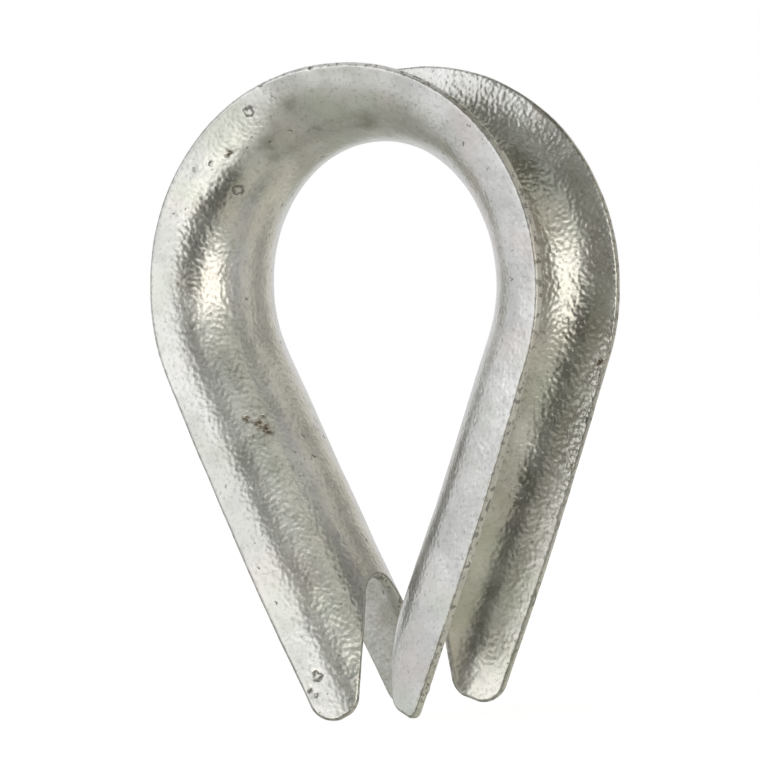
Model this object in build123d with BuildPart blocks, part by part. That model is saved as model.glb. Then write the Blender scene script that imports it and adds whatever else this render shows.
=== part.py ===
from build123d import *
from math import cos, degrees, radians, sin, sqrt, tan
import os

# Wire rope thimble: one steel strip pressed to a U groove and bent to a teardrop eye.
# Frame: the eye's bore runs along Y and +Z points from the legs to the crown.
# The origin is the centre of the crown bend, halfway across the groove.
# All lengths are in millimetres and all angles in degrees.

# Strip and groove section
strip_thickness = 1.1          # steel with its zinc coat
groove_radius = 7.55           # rope side of the groove, for a 14 mm rope
flare_angle = 75.0             # groove arc on each side of its bottom
crown_flange = 1.85            # straight flange beyond the arc, around the crown
tip_flange = 2.8               # the same flange where the legs end

# Teardrop path of the groove bottom, measured on the eye side
crown_radius = 16.05           # bend over the top of the eye
crown_half_angle = 25.0        # each side of the top
shoulder_radius = 14.95        # tighter bend from the crown down to a leg
leg_half_angle = 24.8          # slope of each leg from vertical
leg_length = 40.1              # straight leg, from the shoulder bend to the prong tips

# Fishtail notch that splits the end of each leg into two prongs
notch_root = 27.0              # along the leg, from the shoulder bend
notch_root_radius = 3.4
notch_half_angle = 31.5        # each side of the groove bottom, in the flat strip
tip_radius = 2.6               # round end of each prong
edge_rounding = 0.3            # corners of both rims

# Allowances of the tools that cut the notch and the tips
notch_stations = 6             # sections along each part of the notch cutter
first_root_turn = 8.0          # keeps the cutter's first section from closing to a line
cutter_reach = 1.3             # cutter radius over the groove's outer radius
cutter_margin = 4.0            # how far cutters run past the material
sharp_angle = 40.0             # faces that meet at more than this make a sharp corner
shortest_rim = 7.0             # every piece of rim is longer than this

bore_direction = Vector(0, 1, 0)
outer_radius = groove_radius + strip_thickness
leg_angle = 90.0 + leg_half_angle


def outward(angle):
    """Direction away from the eye, at an angle from the top of the crown."""
    return Vector(sin(radians(angle)), 0, cos(radians(angle)))


def forward(angle):
    """Direction along the strip, at an angle from the top of the crown."""
    return Vector(cos(radians(angle)), 0, -sin(radians(angle)))


def across_strip(angle, centre):
    """Plane across the strip: x runs along the bore and y away from the eye."""
    return Plane(origin=centre, x_dir=bore_direction, z_dir=forward(angle))


shoulder_centre = outward(crown_half_angle) * (crown_radius - shoulder_radius)
leg_forward = forward(leg_angle)
leg_outward = outward(leg_angle)
groove_axis_start = shoulder_centre + leg_outward * (shoulder_radius + outer_radius)


def around_groove(radius, angle, centre_height=0.0):
    """Point of a groove section, at an angle from the groove bottom."""
    return (radius * sin(radians(angle)), centre_height - radius * cos(radians(angle)))


def groove_arc(radius, centre_height, direction):
    """Three points of a groove arc, drawn towards +x or back again."""
    angles = (-flare_angle * direction, 0, flare_angle * direction)
    return [around_groove(radius, angle, centre_height) for angle in angles]


def crown_flange_corners(centre_height, side):
    """Corners of one straight flange of the crown's groove section."""
    run = side * crown_flange * cos(radians(flare_angle))
    rise = crown_flange * sin(radians(flare_angle))
    eye_side = around_groove(outer_radius, side * flare_angle, centre_height)
    rope_side = around_groove(groove_radius, side * flare_angle, centre_height)
    return [
        eye_side,
        (eye_side[0] + run, eye_side[1] + rise),
        (rope_side[0] + run, rope_side[1] + rise),
        rope_side,
    ]


def leg_flange_plane(side):
    """Plane on a leg flange's eye face: x along the leg, y along the flange from the arc."""
    eye_normal = (
        bore_direction * (side * sin(radians(flare_angle)))
        - leg_outward * cos(radians(flare_angle))
    )
    corner = groove_axis_start + eye_normal * outer_radius
    return Plane(origin=corner, x_dir=leg_forward, z_dir=eye_normal * -side)


# The rim of a leg flange is a very slack arc, level with the crown's rim where it starts.
flange_growth = tip_flange - crown_flange
rim_radius = (leg_length**2 + flange_growth**2) / (2 * flange_growth)
rim_centre = (0, crown_flange + rim_radius)

# The notch's straight edges leave its round root at a tangent.
root_distance = notch_root + notch_root_radius
notch_start = root_distance - notch_root_radius * sin(radians(notch_half_angle))
notch_start_width = notch_root_radius * cos(radians(notch_half_angle))
notch_slope = tan(radians(notch_half_angle))

# The prong tip is a round that touches the rim and the notch edge, on the flange's plane.
edge_direction = Vector(cos(radians(notch_half_angle)), sin(radians(notch_half_angle)))
edge_normal = Vector(-edge_direction.Y, edge_direction.X)
edge_start = Vector(notch_start, notch_start_width - outer_radius * radians(flare_angle))
tip_line = edge_start + edge_normal * tip_radius
from_rim_centre = tip_line - Vector(*rim_centre)
along_edge = from_rim_centre.dot(edge_direction)
clearance = from_rim_centre.dot(from_rim_centre) - (rim_radius + tip_radius) ** 2
tip_centre = tip_line - edge_direction * (along_edge + sqrt(along_edge**2 - clearance))
rim_touch = tip_centre + (Vector(*rim_centre) - tip_centre).normalized() * tip_radius
edge_touch = tip_centre - edge_normal * tip_radius
tip_middle = tip_centre + Vector(tip_radius, 0)

# The legs are made overlong, and the tip cutters reach past that stock.
leg_stock = leg_length + cutter_margin
beyond = leg_stock + cutter_margin
above = tip_flange + cutter_margin

# Distance along the leg and width of the notch at each station of its cutter
root_turns = [
    first_root_turn + (90 - notch_half_angle - first_root_turn) * station / (notch_stations - 1)
    for station in range(notch_stations)
]
notch_root_profile = [
    (root_distance - notch_root_radius * cos(radians(turn)), notch_root_radius * sin(radians(turn)))
    for turn in root_turns
]
notch_span = leg_stock + strip_thickness - notch_start
edge_runs = [notch_span * station / (notch_stations - 1) for station in range(notch_stations)]
notch_edge_profile = [
    (notch_start + run, notch_start_width + run * notch_slope) for run in edge_runs
]


def rim_at(distance):
    """Point of a leg flange's rim at a distance along the leg."""
    height = rim_centre[1] - sqrt(rim_radius**2 - distance**2)
    return (distance, height)


def notch_wedge(width):
    """Corners of the notch cutter's section, a wedge from the groove's axis out past the strip.

    The width runs over the flat strip, from the groove bottom to one edge of the notch.
    """
    half_angle = degrees(width / outer_radius)
    reach = outer_radius * cutter_reach
    right = around_groove(reach, half_angle)
    left = around_groove(reach, -half_angle)
    floor = -reach - cutter_margin
    return [(0, 0), right, (right[0], floor), (left[0], floor), left]


def rim_edges(part):
    """The corners that run along both rims: long edges where two faces meet squarely."""
    meeting = {}
    for face in part.faces():
        for edge in face.edges():
            meeting.setdefault(edge, []).append(face)
    chosen = []
    for edge, faces in meeting.items():
        middle = edge @ 0.5
        if len(faces) != 2 or edge.length < shortest_rim or abs(middle.Y) < groove_radius:
            continue
        if faces[0].normal_at(middle).get_angle(faces[1].normal_at(middle)) > sharp_angle:
            chosen.append(edge)
    return chosen


# Each bend of the strip: start angle, end angle, bend centre and radius on the eye side
bends = [
    (0.0, crown_half_angle, Vector(0, 0, 0), crown_radius),
    (crown_half_angle, leg_angle, shoulder_centre, shoulder_radius),
]

with BuildPart() as thimble:
    # Crown and shoulder bends, from the top of the eye down to the straight leg
    for start_angle, end_angle, centre, bend_radius in bends:
        height = bend_radius + outer_radius
        with BuildSketch(across_strip(start_angle, centre)):
            with BuildLine():
                outer = ThreePointArc(*groove_arc(outer_radius, height, 1))
                inner = ThreePointArc(*groove_arc(groove_radius, height, -1))
                Line(outer @ 1, inner @ 0)
                Line(inner @ 1, outer @ 0)
            make_face()
            for side in (-1, 1):
                with BuildLine():
                    Polyline(*crown_flange_corners(height, side), close=True)
                make_face()
        revolve(axis=Axis(centre, bore_direction), revolution_arc=end_angle - start_angle)

    # Straight leg: the curved part of the groove, then its two flanges and prong tips
    with BuildSketch(across_strip(leg_angle, groove_axis_start)):
        with BuildLine():
            outer = ThreePointArc(*groove_arc(outer_radius, 0, 1))
            inner = ThreePointArc(*groove_arc(groove_radius, 0, -1))
            Line(outer @ 1, inner @ 0)
            Line(inner @ 1, outer @ 0)
        make_face()
    extrude(amount=leg_stock)
    for side in (-1, 1):
        with BuildSketch(leg_flange_plane(side)):
            with BuildLine():
                Polyline((0, crown_flange), (0, 0), (leg_stock, 0), rim_at(leg_stock))
                ThreePointArc(rim_at(leg_stock), rim_at(leg_stock / 2), (0, crown_flange))
            make_face()
        extrude(amount=side * strip_thickness)

    # Rounded corners along both rims
    fillet(rim_edges(thimble.part), radius=edge_rounding)

    # Prong tips
    for side in (-1, 1):
        with BuildSketch(leg_flange_plane(side)):
            with BuildLine():
                ThreePointArc(rim_touch, tip_middle, edge_touch)
                Polyline(
                    edge_touch,
                    (edge_touch.X, -outer_radius),
                    (beyond, -outer_radius),
                    (beyond, above),
                    (rim_touch.X, above),
                    rim_touch,
                )
            make_face()
        extrude(amount=cutter_margin, both=True, mode=Mode.SUBTRACT)

    # Fishtail notch: its round root, then its straight edges
    for profile in (notch_root_profile, notch_edge_profile):
        for distance, width in profile:
            with BuildSketch(across_strip(leg_angle, groove_axis_start + leg_forward * distance)):
                with BuildLine():
                    Polyline(*notch_wedge(width), close=True)
                make_face()
        loft(mode=Mode.SUBTRACT)

    # The left half mirrors the right half
    mirror(about=Plane.YZ)

thimble.part.label = "thimble"

os.makedirs("parts", exist_ok=True)
export_step(thimble.part, "parts/thimble.step")
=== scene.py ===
import math

import bmesh
import bpy
import numpy as np
from mathutils import Matrix, Vector, noise


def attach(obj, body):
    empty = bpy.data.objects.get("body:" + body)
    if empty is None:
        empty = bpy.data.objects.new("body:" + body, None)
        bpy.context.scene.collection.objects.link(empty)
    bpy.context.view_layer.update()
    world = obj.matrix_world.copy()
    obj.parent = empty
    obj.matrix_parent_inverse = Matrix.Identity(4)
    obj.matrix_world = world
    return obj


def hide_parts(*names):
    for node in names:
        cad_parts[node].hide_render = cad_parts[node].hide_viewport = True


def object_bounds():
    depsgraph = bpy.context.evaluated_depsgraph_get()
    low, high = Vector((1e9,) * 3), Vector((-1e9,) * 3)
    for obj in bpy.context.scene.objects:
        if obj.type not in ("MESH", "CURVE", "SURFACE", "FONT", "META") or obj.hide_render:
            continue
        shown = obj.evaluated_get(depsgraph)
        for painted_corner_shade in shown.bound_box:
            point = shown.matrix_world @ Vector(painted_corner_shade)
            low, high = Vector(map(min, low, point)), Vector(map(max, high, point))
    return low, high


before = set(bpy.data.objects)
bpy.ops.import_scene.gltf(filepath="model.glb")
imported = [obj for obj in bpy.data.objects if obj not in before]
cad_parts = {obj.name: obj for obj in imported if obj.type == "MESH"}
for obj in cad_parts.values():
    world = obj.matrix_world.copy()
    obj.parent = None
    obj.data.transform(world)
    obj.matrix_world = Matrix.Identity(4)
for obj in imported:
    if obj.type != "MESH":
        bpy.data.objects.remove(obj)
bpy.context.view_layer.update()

MM = 0.001

# A thimble is one steel strip with a U section, bent to a teardrop. The mesh is laid out on the
# flat strip and bent by place(). X runs across the eye, Y along its bore and Z to the crown.

# ---------------------------------------------------------------- strip shape, in millimetres
STRIP_THICKNESS = 1.1
GROOVE_RADIUS = 7.55
FLARE = math.radians(75.0)
CROWN_RADIUS = 16.05
CROWN_HALF_ANGLE = math.radians(25.0)
SHOULDER_RADIUS = 14.95
LEG_HALF_ANGLE = math.radians(24.8)
EDGE_ROUNDING = 0.34
EDGE_TURNS = (22.5, 45.0, 67.5, 90.0)   # degrees round each corner of a cut edge
OUTER_RADIUS = GROOVE_RADIUS + STRIP_THICKNESS
ARC_WIDTH = OUTER_RADIUS * FLARE
LEG_ANGLE = math.pi / 2 + LEG_HALF_ANGLE
CROWN_RUN = CROWN_RADIUS * CROWN_HALF_ANGLE
LEG_START = CROWN_RUN + SHOULDER_RADIUS * (LEG_ANGLE - CROWN_HALF_ANGLE)
LEG_BOW = 0.15                 # how far a leg bows outwards at its middle
LEG_RUN = 39.8                 # length of a leg to its mean tip

# Straight flange beyond the groove arc, at distances along the strip from the crown
FLANGE_FROM_SHOULDER = (6.0, 16.0, 28.0, LEG_RUN)
FLANGE_STATIONS = (0.0, 14.0, LEG_START, *(LEG_START + run for run in FLANGE_FROM_SHOULDER))
FLANGE_WIDTHS = (1.55, 1.95, 2.25, 2.5, 2.7, 2.8, 2.75)

# Fishtail notch and the four prongs beside it
NOTCH_ROOT_CENTRE = LEG_START + 30.45
NOTCH_ROOT_RADIUS = 3.45
SPREAD_START = LEG_START + 15.0   # a prong's extra flange width grows in between these two
SPREAD_END = LEG_START + 31.0
QUARTERS = (
    # leg, flank (-1 is the front), notch half angle, length along the leg,
    # tip radius at the notch, tip radius at the rim, extra flange width
    (-1, -1, 30.3, 40.0, 2.7, 2.7, 0.0),
    (-1, 1, 30.3, 39.5, 2.6, 2.6, 1.0),
    (1, -1, 36.4, 39.2, 2.5, 0.9, 0.0),
    (1, 1, 28.6, 39.6, 2.6, 2.6, 0.0),
)

# Mesh grid
ROW_SPACING = 0.32
COLUMNS = 42
ROOT_ROWS = 13
TIP_ROWS = 14
TIP_END_ANGLE = math.radians(80.0)
WELD_DISTANCE = 0.0001 * MM

# Relief of the zinc coat: size of the lumps, height and noise seed
RELIEF = (
    (11.0, 0.10, 3.1),
    (3.2, 0.035, 7.7),
    (1.3, 0.016, 12.4),
)
SEED_SHIFT = (1.0, 1.7, 0.6)   # how a seed moves the noise along X, Y and Z

# Marks on the zinc: distance (negative on the left leg), across, depth and radius, in millimetres
PITS = (
    (-1.2, -12.8, 0.0, 0.35),
    (-5.5, -12.8, 0.0, 0.30),
    (-9.8, -8.2, 0.0, 0.28),
    (-12.8, -10.5, 0.0, 0.34),
    (-14.0, -11.6, 0.0, 0.30),
    (-5.5, -7.0, 0.0, 0.34),
    (-7.8, -7.2, 0.0, 0.30),
    (-6.2, -0.8, 0.0, 0.30),
    (13.2, -10.2, 0.0, 0.28),
    (-38.8, -7.6, 0.0, 0.34),
    (-37.2, -5.6, 0.0, 0.30),
    (-43.0, -1.5, 0.0, 0.30),
    (-42.2, -3.8, 0.0, 0.26),
    (-44.8, -4.5, 0.0, 0.28),
    (-58.0, 7.8, STRIP_THICKNESS, 0.50),
    (-66.3, -13.3, 0.0, 0.45),
    (-67.0, -12.9, 0.0, 0.35),
    (-69.0, -13.4, 0.0, 0.35),
)
RINGS = (
    (-7.5, -11.2, 0.0, 0.48),
    (-13.6, -6.4, 0.0, 0.50),
    (-65.2, -12.0, 0.0, 0.40),
)
RUST = (
    (-37.9, -6.4, 0.0, 1.0),
    (-38.8, -5.7, 0.0, 0.9),
    (-36.9, -7.4, 0.0, 0.7),
    (-11.2, -9.5, 0.0, 0.60),
    (30.5, 12.8, STRIP_THICKNESS, 0.55),
    (42.2, 13.4, STRIP_THICKNESS, 0.45),
)
STAINS = (
    (-12.8, -7.5, 0.0, 2.2),
    (-8.0, -6.5, 0.0, 2.6),
    (-4.0, -10.0, 0.0, 1.8),
    (2.5, -6.0, 0.0, 2.4),
    (-17.0, -9.5, 0.0, 1.6),
    (-37.5, -5.0, 0.0, 2.4),
    (45.0, 9.2, STRIP_THICKNESS, 2.0),
)
HOLLOWS = PITS + RINGS + RUST
HOLLOW_DEPTH = 0.06
RING_WIDTH = 0.28

# Pebbling of the zinc, 1 at full strength: where it fades, over what length and by how much
SMOOTH_CROWN = 14.0            # each way from the crown, on the eye side
SMOOTH_TIP_FROM = LEG_START + 12.0
SMOOTH_TIP_RUN = 15.0
FLANGE_BLEND = 1.5             # width over which it fades onto a flange
CROWN_FADE = 0.7
FLANGE_FADE = 0.55
TIP_FADE = 0.8                 # on the rope side
ROPE_SIDE_EXTRA = 0.4
CLEAN_FLANGE = 0.9             # how far the flanges are free of the dirt in the groove

# ---------------------------------------------------------------- surface
# Noise: scale per metre, detail and, where it isn't the usual 0.5, roughness
PEBBLE = (2200.0, 0.0)
GRAIN = (4200.0, 1.0)
CLOUD = (160.0, 3.0, 0.55)
SPANGLE = (520.0, 3.0, 0.6)
SPECKLE = (2300.0, 2.0, 0.6)
NICK = (1500.0, 2.0, 0.6)
TINT = (110.0, 2.0)
PUSH = (1400.0, 2.0, 0.6)
PUSH_REACH = 0.0011            # how far noise moves the outline of a mark, in metres
BUMP_HEIGHT = 0.00005          # metres

# Random pits: cells per metre, share of cells with a pit, pit radius in mm and strength
RANDOM_PITS = (
    (330.0, 0.5, 0.24, 0.8),
    (900.0, 0.4, 0.14, 0.6),
)
CELL_CHOICE_BLEND = 0.02
PIT_CORE = 0.5                 # share of a random pit's radius that is at full depth

# Share of a mark's radius over which it fades
SHARP_MARK = 0.8
SOFT_MARK = 0.9

# Ramps: where noise or the edge amount (wear and painted corner shade) starts and ends them, then
# the strength at either end
RING_BREAKS = (0.3, 0.5, 0.3, 1.0)
CRUMB_RAMP = (0.46, 0.54)
STAIN_RAMP = (0.35, 0.65, 0.2, 0.75)
DIRT_RAMP = (0.35, 0.65, 0.40, 0.15)
NICK_RAMP = (0.54, 0.62, 0.0, 0.7)
# the dark line along each corner of a cut edge is painted shade, opened and closed by the edge
# amount and broken by noise
CORNER_SHADE_START = (0.02, 0.2)
CORNER_SHADE_END = (0.8, 0.45)
CORNER_SHADE_BREAKS = (0.35, 0.6, 0.2, 0.6)
ROUGHNESS_RAMP = (0.3, 0.7, 0.23, 0.31)

GREY_ZINC = (0.60, 0.60, 0.59, 1)
PALE_ZINC = (0.75, 0.75, 0.745, 1)
SPANGLE_GREY = (0.48, 0.485, 0.48, 1)
SPECKLE_GREY = (0.38, 0.38, 0.37, 1)
PINK_ZINC = (0.66, 0.56, 0.52, 1)
GREEN_ZINC = (0.56, 0.60, 0.51, 1)
STAIN_COLOUR = (0.33, 0.33, 0.29, 1)
DIRT_COLOUR = (0.36, 0.35, 0.29, 1)
WORN_STEEL = (0.78, 0.78, 0.77, 1)
NICK_COLOUR = (0.16, 0.15, 0.13, 1)
# painted shade along each corner of a cut edge
CORNER_SHADE_COLOUR = (0.20, 0.19, 0.17, 1)
PIT_COLOUR = (0.13, 0.12, 0.10, 1)
RUST_COLOUR = (0.30, 0.23, 0.15, 1)
RUST_CRUMB = (0.09, 0.06, 0.03, 1)

METAL = 0.95
EDGE_ROUGHNESS = 0.2           # added on the rims
DULL_ROUGHNESS = 0.3           # added in pits, rust and nicks
DULL_METAL = 0.6               # taken from the metal there
DULL_HOLLOW = 0.6              # depth of those marks in the bump, as a share of its height
GRAIN_HEIGHT = 0.12            # grain beside the pebbling

# ---------------------------------------------------------------- studio, in metres
WHITE = (1, 1, 1, 1)
FLOOR_SIZE = 8.0
FLOOR_COLOUR = (0.9, 0.9, 0.9, 1)
FLOOR_WHITE = 1.1              # brightness of the floor's glow, as the camera sees it
FLOOR_GLOW = 0.85              # share of that glow in the floor
CAMERA_AZIMUTH = math.radians(31.9)
CAMERA_ROLL = math.radians(-3.66)
CAMERA_DISTANCE = 0.4611
CAMERA_SHIFT = -0.0009
CAMERA_HEIGHT = -0.0092
CAMERA_LENS = 206.0            # millimetres
CAMERA_SENSOR = 36.0           # millimetres

# Light tent round the thimble: azimuth range (0 faces the front), elevation range and soft edge
# of each panel in degrees, and its colour. A later panel covers an earlier one.
TENT_RADIUS = 0.22
TENT_STRENGTH = 1.04
TENT_COLOUR = (0.47, 0.47, 0.41)
TENT_PANELS = (
    ((-190, -32), (-20, 110), 7, (0.85, 0.85, 0.85)),
    ((-50, -14), (3, 51), 8, (1.5, 1.5, 1.52)),
    ((-24, 2), (-24, 13), 7, (1.3, 1.3, 1.26)),
    ((-15, 165), (38, 70), 8, (0.10, 0.10, 0.07)),
    ((0, 30), (7, 67), 8, (0.24, 0.24, 0.22)),
    ((28, 70), (-20, 12), 6, (2.2, 2.12, 1.9)),
    ((61, 84), (15, 50), 6, (0.7, 0.7, 0.6)),
    ((81, 138), (-30, 95), 8, (0.17, 0.15, 0.10)),
    ((99, 187), (-65, 43), 8, (0.76, 0.73, 0.64)),
    ((124, 160), (-30, 32), 8, (0.36, 0.35, 0.30)),
    ((12, 42), (-52, 1), 7, (0.08, 0.08, 0.07)),
    ((24, 45), (13, 42), 6, (0.56, 0.58, 0.53)),
    ((35, 162), (-85, -37), 6, (0.62, 0.60, 0.49)),
    ((-12, 8), (-36, -10), 4, (1.9, 1.86, 1.72)),
)


def flange_width(distance):
    """Width of the flange at a distance from the crown, as a smooth curve."""
    last = len(FLANGE_STATIONS) - 1
    low = min(max(np.searchsorted(FLANGE_STATIONS, distance) - 1, 0), last - 1)
    span = FLANGE_STATIONS[low + 1] - FLANGE_STATIONS[low]
    share = min(max((distance - FLANGE_STATIONS[low]) / span, 0.0), 1.0)

    def slope(index):
        """Slope of the curve at a station, from the stations beside it."""
        before, after = max(index - 1, 0), min(index + 1, last)
        rise = FLANGE_WIDTHS[after] - FLANGE_WIDTHS[before]
        return rise / (FLANGE_STATIONS[after] - FLANGE_STATIONS[before])

    square, cube = share * share, share**3
    return (
        (2 * cube - 3 * square + 1) * FLANGE_WIDTHS[low]
        + (cube - 2 * square + share) * span * slope(low)
        + (3 * square - 2 * cube) * FLANGE_WIDTHS[low + 1]
        + (cube - square) * span * slope(low + 1)
    )


def half_width(distance):
    """Half the width of the flat strip at a distance from the crown."""
    return ARC_WIDTH + flange_width(distance)


def place(distance, across, depth, side):
    """Bends flat strip coordinates to the thimble.

    distance runs along the groove bottom from the crown, across runs over the section from the
    groove bottom, depth goes from the eye side into the strip, and side is +1 or -1 for the leg.
    """
    distance = np.asarray(distance, float)
    in_crown = distance <= CROWN_RUN
    in_leg = distance > LEG_START
    angle = np.where(
        in_crown,
        distance / CROWN_RADIUS,
        np.minimum(CROWN_HALF_ANGLE + (distance - CROWN_RUN) / SHOULDER_RADIUS, LEG_ANGLE),
    )
    radius = np.where(in_crown, CROWN_RADIUS, SHOULDER_RADIUS)
    shift = np.where(in_crown, 0.0, CROWN_RADIUS - SHOULDER_RADIUS)
    along_leg = np.where(in_leg, distance - LEG_START, 0.0)
    bow = LEG_BOW * np.sin(np.pi * np.clip(along_leg / LEG_RUN, 0, 1)) ** 2
    out_x, out_z = np.sin(angle), np.cos(angle)
    x = shift * np.sin(CROWN_HALF_ANGLE) + (radius + bow) * out_x + along_leg * out_z
    z = shift * np.cos(CROWN_HALF_ANGLE) + (radius + bow) * out_z - along_leg * out_x
    turn = np.clip(across / OUTER_RADIUS, -FLARE, FLARE)
    beyond = across - turn * OUTER_RADIUS
    arc = OUTER_RADIUS - depth
    y = arc * np.sin(turn) + beyond * np.cos(FLARE)
    lift = OUTER_RADIUS - arc * np.cos(turn) + np.abs(beyond) * np.sin(FLARE)
    return np.stack([side * (x + out_x * lift), y, z + out_z * lift], axis=-1)


def quarter_outline(notch_angle, length, notch_round, rim_round, spread):
    """Rows of one quarter of the flat strip: distance, inner limit and outer limit of each."""
    inset = EDGE_ROUNDING
    angle = math.radians(notch_angle)
    root_radius = NOTCH_ROOT_RADIUS + inset
    root = NOTCH_ROOT_CENTRE - root_radius

    def rim(distance):
        """Outer limit, with the prong's extra flange eased in."""
        share = (distance - SPREAD_START) / (SPREAD_END - SPREAD_START)
        share = min(max(share, 0.0), 1.0)
        return half_width(distance) - inset + spread * share * share * (3 - 2 * share)

    rows = []
    for distance in np.linspace(0, root, int(root / ROW_SPACING)):
        rows.append((distance, 0.0, rim(distance)))
    for step in range(1, ROOT_ROWS + 1):
        turn = (math.pi / 2 - angle) * step / ROOT_ROWS
        distance = NOTCH_ROOT_CENTRE - root_radius * math.cos(turn)
        rows.append((distance, root_radius * math.sin(turn), rim(distance)))
    notch_from, notch_in, _ = rows[-1]

    def notch_edge(distance):
        """Inner limit along the notch's straight edge."""
        return notch_in + (distance - notch_from) * math.tan(angle)

    # each corner of the prong's end is a round of its own, and the rows crowd towards the end
    end = LEG_START + length - inset
    notch_round -= inset
    rim_round -= inset
    notch_round_from = end - notch_round
    notch_round_up = notch_edge(notch_round_from) + notch_round / math.cos(angle)
    notch_round_touch = notch_round_from + notch_round * math.sin(angle)
    rim_round_from = end - rim_round

    reach = max(notch_round, rim_round)
    tip_from = end - reach
    distances = list(np.arange(notch_from + ROW_SPACING, tip_from - ROW_SPACING / 2, ROW_SPACING))
    for turn in np.linspace(0, TIP_END_ANGLE, TIP_ROWS + 1):
        distances.append(tip_from + reach * math.sin(turn))
    for distance in distances:
        inner, outer = notch_edge(distance), rim(distance)
        if distance > notch_round_touch:
            gap = distance - notch_round_from
            inner = notch_round_up - math.sqrt(notch_round**2 - gap**2)
        if distance > rim_round_from:
            gap = distance - rim_round_from
            outer -= rim_round - math.sqrt(rim_round**2 - gap**2)
        rows.append((distance, inner, outer))
    return np.array(rows)


def outward_normals(points, first, last):
    """Unit normals of a flat boundary line, pointing away from the strip, with set end normals."""
    along = np.gradient(points, axis=0)
    normals = np.stack([along[:, 1], -along[:, 0]], axis=-1)
    normals /= np.linalg.norm(normals, axis=1, keepdims=True)
    normals[0], normals[-1] = first, last
    return normals


def edge_profile():
    """Offset, depth and edge amount (wear and painted corner shade) of each point across the cut
    edge, from eye side to rope side.
    """
    rise = []
    for angle in EDGE_TURNS:
        across, along = math.sin(math.radians(angle)), math.cos(math.radians(angle))
        rise.append((EDGE_ROUNDING * across, EDGE_ROUNDING * (1 - along), across**2))
    fall = [(offset, STRIP_THICKNESS - depth, edge_wear_and_shade) for offset, depth, edge_wear_and_shade in reversed(rise)]
    return rise + [(EDGE_ROUNDING, STRIP_THICKNESS / 2, 1.0)] + fall


class StripMesh:
    """Collects vertices, each with its flat coordinates and edge amount for wear and painted
    corner shade, and faces.
    """

    def __init__(self):
        self.points = []
        self.flat = []
        self.faces = []
        self.count = 0

    def add_points(self, distance, across, depth, side, edge_wear_and_shade=0.0):
        """Adds a grid or a line of vertices and returns their indices in the same shape."""
        distance, across, depth, edge_wear_and_shade = np.broadcast_arrays(distance, across, depth, edge_wear_and_shade)
        self.points.append(place(distance, across, depth, side).reshape(-1, 3))
        flat = np.stack([distance * side, across, depth, edge_wear_and_shade], axis=-1)
        self.flat.append(flat.reshape(-1, 4))
        index = self.count + np.arange(distance.size).reshape(distance.shape)
        self.count += distance.size
        return index

    def add_grid(self, index, flip):
        """Adds a face between every four neighbours of a grid of indices."""
        corners = [index[:-1, :-1], index[1:, :-1], index[1:, 1:], index[:-1, 1:]]
        if flip:
            corners = [corners[0], *reversed(corners[1:])]
        self.faces.append(np.stack(corners, axis=-1).reshape(-1, 4))


def build_quarter(mesh, side, flank, *prong):
    """One leg's front or back half: both broad faces and the rounded edge between them."""
    rows = quarter_outline(*prong)
    share = np.linspace(0, 1, COLUMNS + 1)
    distance = np.repeat(rows[:, :1], COLUMNS + 1, axis=1)
    across = rows[:, 1:2] + (rows[:, 2:3] - rows[:, 1:2]) * share
    mirrored = side * flank > 0
    eye = mesh.add_points(distance, across * flank, 0.0, side)
    rope = mesh.add_points(distance, across * flank, STRIP_THICKNESS, side)
    mesh.add_grid(eye, mirrored)
    mesh.add_grid(rope, not mirrored)

    # boundary: from the row where the notch opens, down its edge, across the tip and up the rim
    split = int(np.argmax(rows[:, 1] > 0)) - 1
    flat = np.stack([distance, across], axis=-1)
    line = np.concatenate([flat[split:, 0], flat[-1, 1:], flat[-2::-1, -1]])
    eye_line = np.concatenate([eye[split:, 0], eye[-1, 1:], eye[-2::-1, -1]])
    rope_line = np.concatenate([rope[split:, 0], rope[-1, 1:], rope[-2::-1, -1]])
    normals = outward_normals(line, (1.0, 0.0), (0.0, 1.0))
    rings = [eye_line]
    for offset, depth, edge_wear_and_shade in edge_profile():
        moved = line + normals * offset
        rings.append(mesh.add_points(moved[:, 0], moved[:, 1] * flank, depth, side, edge_wear_and_shade))
    rings.append(rope_line)
    mesh.add_grid(np.stack(rings), mirrored)


strip = StripMesh()
for quarter in QUARTERS:
    build_quarter(strip, *quarter)

# ---------------------------------------------------------------- mesh object
points = np.concatenate(strip.points) * MM
flat = np.concatenate(strip.flat)
faces = np.concatenate(strip.faces)

# weld the quarters where they meet
keys = np.round(points / WELD_DISTANCE).astype(np.int64)
_, first, inverse = np.unique(keys, axis=0, return_index=True, return_inverse=True)
inverse = inverse.reshape(-1)
points, flat, faces = points[first], flat[first], inverse[faces]

mesh = bpy.data.meshes.new("thimble_strip")
mesh.from_pydata(points.tolist(), [], faces.tolist())
mesh.update()
mesh.shade_smooth()
thimble = bpy.data.objects.new("thimble_strip", mesh)
bpy.context.scene.collection.objects.link(thimble)


# ---------------------------------------------------------------- surface relief
def lumps(size, seed):
    """Smooth noise at every vertex, for lumps of a size in millimetres."""
    offset = Vector([seed * shift for shift in SEED_SHIFT])
    scaled = points / (size * MM)
    return np.array([noise.noise(Vector(point) + offset) for point in scaled])


def mark_centre(distance, across, depth):
    """Where a mark on the flat strip ends up, in metres."""
    return place(abs(distance), across, depth, math.copysign(1, distance)) * MM


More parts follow.
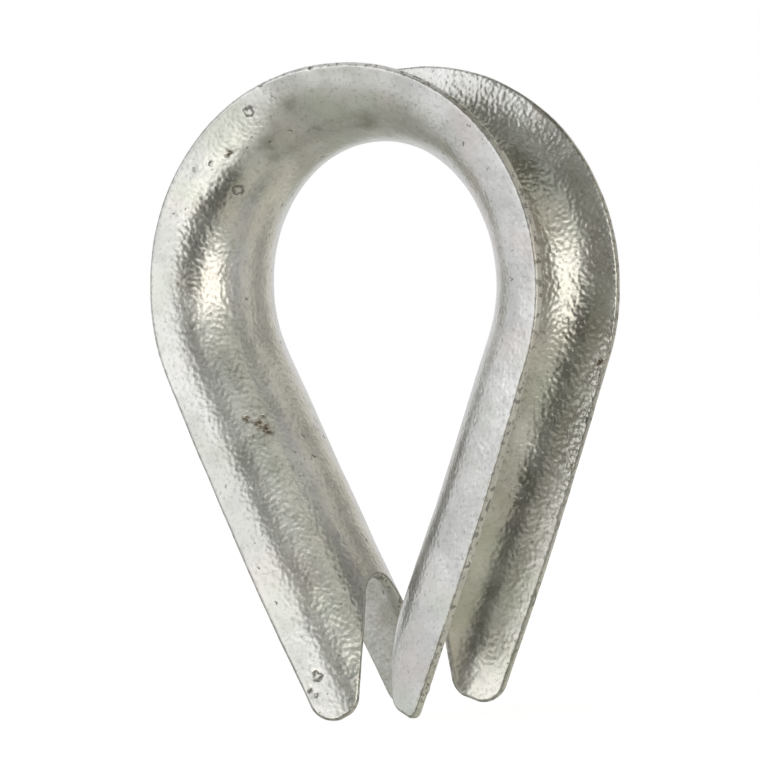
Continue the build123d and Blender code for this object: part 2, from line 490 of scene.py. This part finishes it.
def coat_layers():
    """Strength of the pebbling, the edge amount for wear and painted corner shade, and the dirt at
    every vertex.

    The zinc drained smooth over the eye side of the crown and on the flanges, and is pebbled
    elsewhere. Dirt gathers on the rope side of the groove.
    """
    distance, across, depth, edge_wear_and_shade = flat.T
    eye_side = 1 - depth / STRIP_THICKNESS
    rope_side = 1 - eye_side
    crown = np.exp(-((distance / SMOOTH_CROWN) ** 2)) * eye_side
    flange = np.clip((np.abs(across) - ARC_WIDTH) / FLANGE_BLEND, 0, 1)
    tip = np.clip((np.abs(distance) - SMOOTH_TIP_FROM) / SMOOTH_TIP_RUN, 0, 1) * rope_side
    pebbling = (
        (1 - CROWN_FADE * crown)
        * (1 - FLANGE_FADE * flange * eye_side)
        * (1 + ROPE_SIDE_EXTRA * rope_side - TIP_FADE * tip)
    )
    return {"pebbling": pebbling, "edge": edge_wear_and_shade, "grime": rope_side * (1 - CLEAN_FLANGE * flange)}


relief = sum(height * lumps(size, seed) for size, height, seed in RELIEF)
for *spot, radius in HOLLOWS:
    gap = np.linalg.norm(points - mark_centre(*spot), axis=1) / (radius * MM)
    relief -= HOLLOW_DEPTH * np.exp(-gap**2)

normals = np.empty(len(points) * 3, np.float32)
mesh.vertex_normals.foreach_get("vector", normals)
points = points + normals.reshape(-1, 3) * (relief * MM)[:, None]
mesh.vertices.foreach_set("co", points.astype(np.float32).ravel())
mesh.update()

for name, values in coat_layers().items():
    layer = mesh.attributes.new(name, "FLOAT", "POINT")
    layer.data.foreach_set("value", values.astype(np.float32))


# ---------------------------------------------------------------- material
STEEL = bpy.data.materials.new("galvanised_steel")
STEEL.use_nodes = True


class Nodes:
    """Short calls that add nodes to one node tree and link them."""

    def __init__(self, tree):
        self.tree = tree
        tree.nodes.clear()

    def add(self, kind, inputs=None, **settings):
        """Adds a node with inputs, each a value or another node's socket, and settings."""
        node = self.tree.nodes.new(kind)
        for name, value in settings.items():
            setattr(node, name, value)
        for name, value in (inputs or {}).items():
            self.feed(node.inputs[name], value)
        return node

    def feed(self, socket, value):
        """Links a socket to an input, or sets its value."""
        if isinstance(value, bpy.types.NodeSocket):
            self.tree.links.new(value, socket)
        else:
            socket.default_value = value

    def noise(self, where, scale, detail=2.0, rough=0.5):
        """Noise texture node."""
        inputs = {"Vector": where, "Scale": scale, "Detail": detail, "Roughness": rough}
        return self.add("ShaderNodeTexNoise", inputs)

    def math(self, operation, first, second=0.0):
        """Result of one calculation."""
        node = self.add("ShaderNodeMath", {0: first, 1: second}, operation=operation)
        return node.outputs[0]

    def vector(self, operation, inputs):
        """Result of one calculation on vectors."""
        return self.add("ShaderNodeVectorMath", inputs, operation=operation).outputs["Vector"]

    def ramp(self, value, low, high, to_low=0.0, to_high=1.0):
        """Carries a value smoothly from one range to another."""
        inputs = {"Value": value, "From Min": low, "From Max": high,
                  "To Min": to_low, "To Max": to_high}
        node = self.add("ShaderNodeMapRange", inputs, interpolation_type="SMOOTHSTEP")
        return node.outputs["Result"]

    def mix(self, share, first, second):
        """First colour blended towards the second by a share."""
        node = self.add("ShaderNodeMix", data_type="RGBA")
        self.feed(node.inputs["Factor"], share)
        self.feed(node.inputs["A"], first)
        self.feed(node.inputs["B"], second)
        return node.outputs["Result"]


steel = Nodes(STEEL.node_tree)
where = steel.add("ShaderNodeTexCoord").outputs["Object"]
pebble = steel.noise(where, *PEBBLE).outputs["Fac"]
grain = steel.noise(where, *GRAIN).outputs["Fac"]
cloud = steel.noise(where, *CLOUD).outputs["Fac"]
spangle = steel.noise(where, *SPANGLE).outputs["Fac"]
speckle = steel.noise(where, *SPECKLE).outputs["Fac"]
nick = steel.noise(where, *NICK).outputs["Fac"]
tint = steel.noise(where, *TINT).outputs["Color"]
tint = steel.add("ShaderNodeSeparateColor", {"Color": tint}).outputs
pebbling = steel.add("ShaderNodeAttribute", attribute_name="pebbling").outputs["Fac"]
edge = steel.add("ShaderNodeAttribute", attribute_name="edge").outputs["Fac"]
grime = steel.add("ShaderNodeAttribute", attribute_name="grime").outputs["Fac"]

# coordinates pushed about by noise, so that marks get ragged outlines
push = steel.noise(where, *PUSH).outputs["Color"]
push = steel.vector("SUBTRACT", {0: push, 1: (0.5, 0.5, 0.5)})
push = steel.vector("SCALE", {0: push, "Scale": PUSH_REACH})
ragged = steel.vector("ADD", {0: where, 1: push})


def spots(marks, softness, ring=False):
    """1 inside any mark of a list, or along its outline, falling to 0 outside."""
    inside = 0.0
    for *spot, radius in marks:
        inputs = {0: ragged, 1: tuple(mark_centre(*spot))}
        gap = steel.add("ShaderNodeVectorMath", inputs, operation="DISTANCE").outputs["Value"]
        size = radius * MM
        if ring:
            gap = steel.math("ABSOLUTE", steel.math("SUBTRACT", gap, size))
            size = RING_WIDTH * MM
        mark = steel.ramp(gap, size, size * (1 - softness))
        inside = steel.math("MAXIMUM", inside, mark)
    return inside


def scattered(scale, share, radius):
    """Small round pits, one in the middle of some of the cells of a random pattern."""
    cells = steel.add("ShaderNodeTexVoronoi", {"Vector": ragged, "Scale": scale})
    chosen = steel.add("ShaderNodeSeparateColor", {"Color": cells.outputs["Color"]}).outputs[0]
    chosen = steel.ramp(chosen, 1 - share, 1 - share + CELL_CHOICE_BLEND)
    reach = radius * MM * scale
    pit = steel.ramp(cells.outputs["Distance"], reach, reach * PIT_CORE)
    return steel.math("MULTIPLY", chosen, pit)


rings = spots(RINGS, SOFT_MARK, ring=True)
rings = steel.math("MULTIPLY", rings, steel.ramp(nick, *RING_BREAKS))
pits = steel.math("MAXIMUM", spots(PITS, SHARP_MARK), rings)
for scale, share, radius, strength in RANDOM_PITS:
    field = steel.math("MULTIPLY", scattered(scale, share, radius), strength)
    pits = steel.math("MAXIMUM", pits, field)
rust = spots(RUST, SHARP_MARK)
crumbs = steel.math("MULTIPLY", rust, steel.ramp(speckle, *CRUMB_RAMP))
stain = steel.math("MULTIPLY", spots(STAINS, SOFT_MARK), steel.ramp(spangle, *STAIN_RAMP))
dirt = steel.math("MULTIPLY", grime, steel.ramp(cloud, *DIRT_RAMP))

# rims: brighter where rubbed, with broken dark nicks, and painted shade as a dark line along each
# corner
nicks = steel.math("MULTIPLY", edge, steel.ramp(nick, *NICK_RAMP))
# painted shade: a dark line where the edge rounding meets the broad faces
painted_corner_shade = steel.math("MULTIPLY", steel.ramp(edge, *CORNER_SHADE_START), steel.ramp(edge, *CORNER_SHADE_END))
painted_corner_shade = steel.math("MULTIPLY", painted_corner_shade, steel.ramp(nick, *CORNER_SHADE_BREAKS))

# colour of the zinc: noise, the range over which it shows, its strongest share and its colour
tone = GREY_ZINC
for field, low, high, strength, colour in (
    (cloud, 0.35, 0.65, 1.0, PALE_ZINC),
    (spangle, 0.50, 0.68, 0.4, SPANGLE_GREY),
    (speckle, 0.54, 0.68, 0.45, SPECKLE_GREY),
    (tint[0], 0.52, 0.66, 0.25, PINK_ZINC),
    (tint[1], 0.52, 0.66, 0.35, GREEN_ZINC),
):
    tone = steel.mix(steel.ramp(field, low, high, 0.0, strength), tone, colour)

# marks over it, from the bottom up: where, how strong and which colour
for mask, strength, colour in (
    (stain, 1.0, STAIN_COLOUR),
    (dirt, 1.0, DIRT_COLOUR),
    (edge, 0.15, WORN_STEEL),
    (nicks, 1.0, NICK_COLOUR),
    # painted shade: the dark line along each corner of a cut edge
    (painted_corner_shade, 1.0, CORNER_SHADE_COLOUR),
    (pits, 0.85, PIT_COLOUR),
    (rust, 0.5, RUST_COLOUR),
    (crumbs, 0.9, RUST_CRUMB),
):
    tone = steel.mix(steel.math("MULTIPLY", mask, strength), tone, colour)

dull = steel.math("MAXIMUM", steel.math("MAXIMUM", pits, crumbs), nicks)
rough = steel.ramp(cloud, *ROUGHNESS_RAMP)
rough = steel.math("ADD", rough, steel.math("MULTIPLY", edge, EDGE_ROUGHNESS))
rough = steel.math("ADD", rough, steel.math("MULTIPLY", dull, DULL_ROUGHNESS))
height = steel.math("ADD", pebble, steel.math("MULTIPLY", grain, GRAIN_HEIGHT))
height = steel.math("MULTIPLY", height, pebbling)
height = steel.math("SUBTRACT", height, steel.math("MULTIPLY", dull, DULL_HOLLOW))
bump = {"Strength": 1.0, "Distance": BUMP_HEIGHT, "Height": height}
shine = steel.add("ShaderNodeBsdfPrincipled", {
    "Base Color": tone,
    "Metallic": steel.math("SUBTRACT", METAL, steel.math("MULTIPLY", dull, DULL_METAL)),
    "Roughness": rough,
    "Normal": steel.add("ShaderNodeBump", bump).outputs["Normal"],
})
steel.add("ShaderNodeOutputMaterial", {"Surface": shine.outputs["BSDF"]})
mesh.materials.append(STEEL)

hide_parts("thimble")
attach(thimble, "root")

# ---------------------------------------------------------------- floor
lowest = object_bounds()[0][2]
floor_mesh = bpy.data.meshes.new("floor")
half = FLOOR_SIZE / 2
corners = [(-half, -half, 0), (half, -half, 0), (half, half, 0), (-half, half, 0)]
floor_mesh.from_pydata(corners, [], [(0, 1, 2, 3)])
floor = bpy.data.objects.new("floor", floor_mesh)
floor.location.z = lowest
bpy.context.scene.collection.objects.link(floor)
floor.visible_glossy = False

PAPER = bpy.data.materials.new("pale_floor")
PAPER.use_nodes = True
paper = Nodes(PAPER.node_tree)
soft = paper.add("ShaderNodeBsdfDiffuse", {"Color": FLOOR_COLOUR})
white = paper.add("ShaderNodeEmission", {"Color": WHITE, "Strength": FLOOR_WHITE})
seen = paper.add("ShaderNodeLightPath").outputs["Is Camera Ray"]
share = paper.math("MULTIPLY", seen, FLOOR_GLOW)
blend = paper.add("ShaderNodeMixShader", {0: share, 1: soft.outputs[0], 2: white.outputs[0]})
paper.add("ShaderNodeOutputMaterial", {"Surface": blend.outputs[0]})
floor_mesh.materials.append(PAPER)

# ---------------------------------------------------------------- light tent
tent_mesh = bpy.data.meshes.new("light_tent")
shell = bmesh.new()
bmesh.ops.create_icosphere(shell, subdivisions=4, radius=TENT_RADIUS)
shell.to_mesh(tent_mesh)
shell.free()
tent = bpy.data.objects.new("light_tent", tent_mesh)
bpy.context.scene.collection.objects.link(tent)
tent.visible_camera = False

CLOTH = bpy.data.materials.new("tent_light")
CLOTH.use_nodes = True
cloth = Nodes(CLOTH.node_tree)

# azimuth 0 is the thimble's front, which faces -Y
direction = cloth.add("ShaderNodeTexCoord").outputs["Object"]
direction = cloth.vector("NORMALIZE", {0: direction})
axes = cloth.add("ShaderNodeSeparateXYZ", {"Vector": direction}).outputs
front = cloth.math("MULTIPLY", axes["Y"], -1.0)
azimuth = cloth.math("DEGREES", cloth.math("ARCTAN2", axes["X"], front))
elevation = cloth.math("DEGREES", cloth.math("ARCSINE", axes["Z"]))


def band(angle, start, end, softness):
    """1 between two angles, falling softly to 0 outside them."""
    rise = cloth.ramp(angle, start - softness, start + softness)
    fall = cloth.ramp(angle, end + softness, end - softness)
    return cloth.math("MULTIPLY", rise, fall)


glow = (*TENT_COLOUR, 1)
for (turn_from, turn_to), (up_from, up_to), softness, colour in TENT_PANELS:
    around = band(azimuth, turn_from, turn_to, softness)
    upward = band(elevation, up_from, up_to, softness)
    glow = cloth.mix(cloth.math("MULTIPLY", around, upward), glow, (*colour, 1))
lit = cloth.add("ShaderNodeEmission", {"Color": glow, "Strength": TENT_STRENGTH})
cloth.add("ShaderNodeOutputMaterial", {"Surface": lit.outputs[0]})
tent_mesh.materials.append(CLOTH)

world = bpy.data.worlds.new("studio")
bpy.context.scene.world = world
world.use_nodes = True
room = Nodes(world.node_tree)
paint = room.add("ShaderNodeBackground", {"Color": WHITE, "Strength": 1.0})
room.add("ShaderNodeOutputWorld", {"Surface": paint.outputs[0]})

# ---------------------------------------------------------------- camera
camera_data = bpy.data.cameras.new("camera")
camera_data.sensor_width = CAMERA_SENSOR
camera_data.lens = CAMERA_LENS
camera = bpy.data.objects.new("camera", camera_data)
bpy.context.scene.collection.objects.link(camera)
forward = Vector((-math.sin(CAMERA_AZIMUTH), math.cos(CAMERA_AZIMUTH), 0))
level_right = Vector((math.cos(CAMERA_AZIMUTH), math.sin(CAMERA_AZIMUTH), 0))
level_up = Vector((0, 0, 1))
right = level_right * math.cos(CAMERA_ROLL) + level_up * math.sin(CAMERA_ROLL)
up = level_up * math.cos(CAMERA_ROLL) - level_right * math.sin(CAMERA_ROLL)
turn = Matrix((right, up, -forward)).transposed().to_4x4()
stand = -forward * CAMERA_DISTANCE + level_right * CAMERA_SHIFT + level_up * CAMERA_HEIGHT
camera.matrix_world = Matrix.Translation(stand) @ turn
bpy.context.scene.camera = camera
bpy.context.scene.view_settings.view_transform = "Standard"
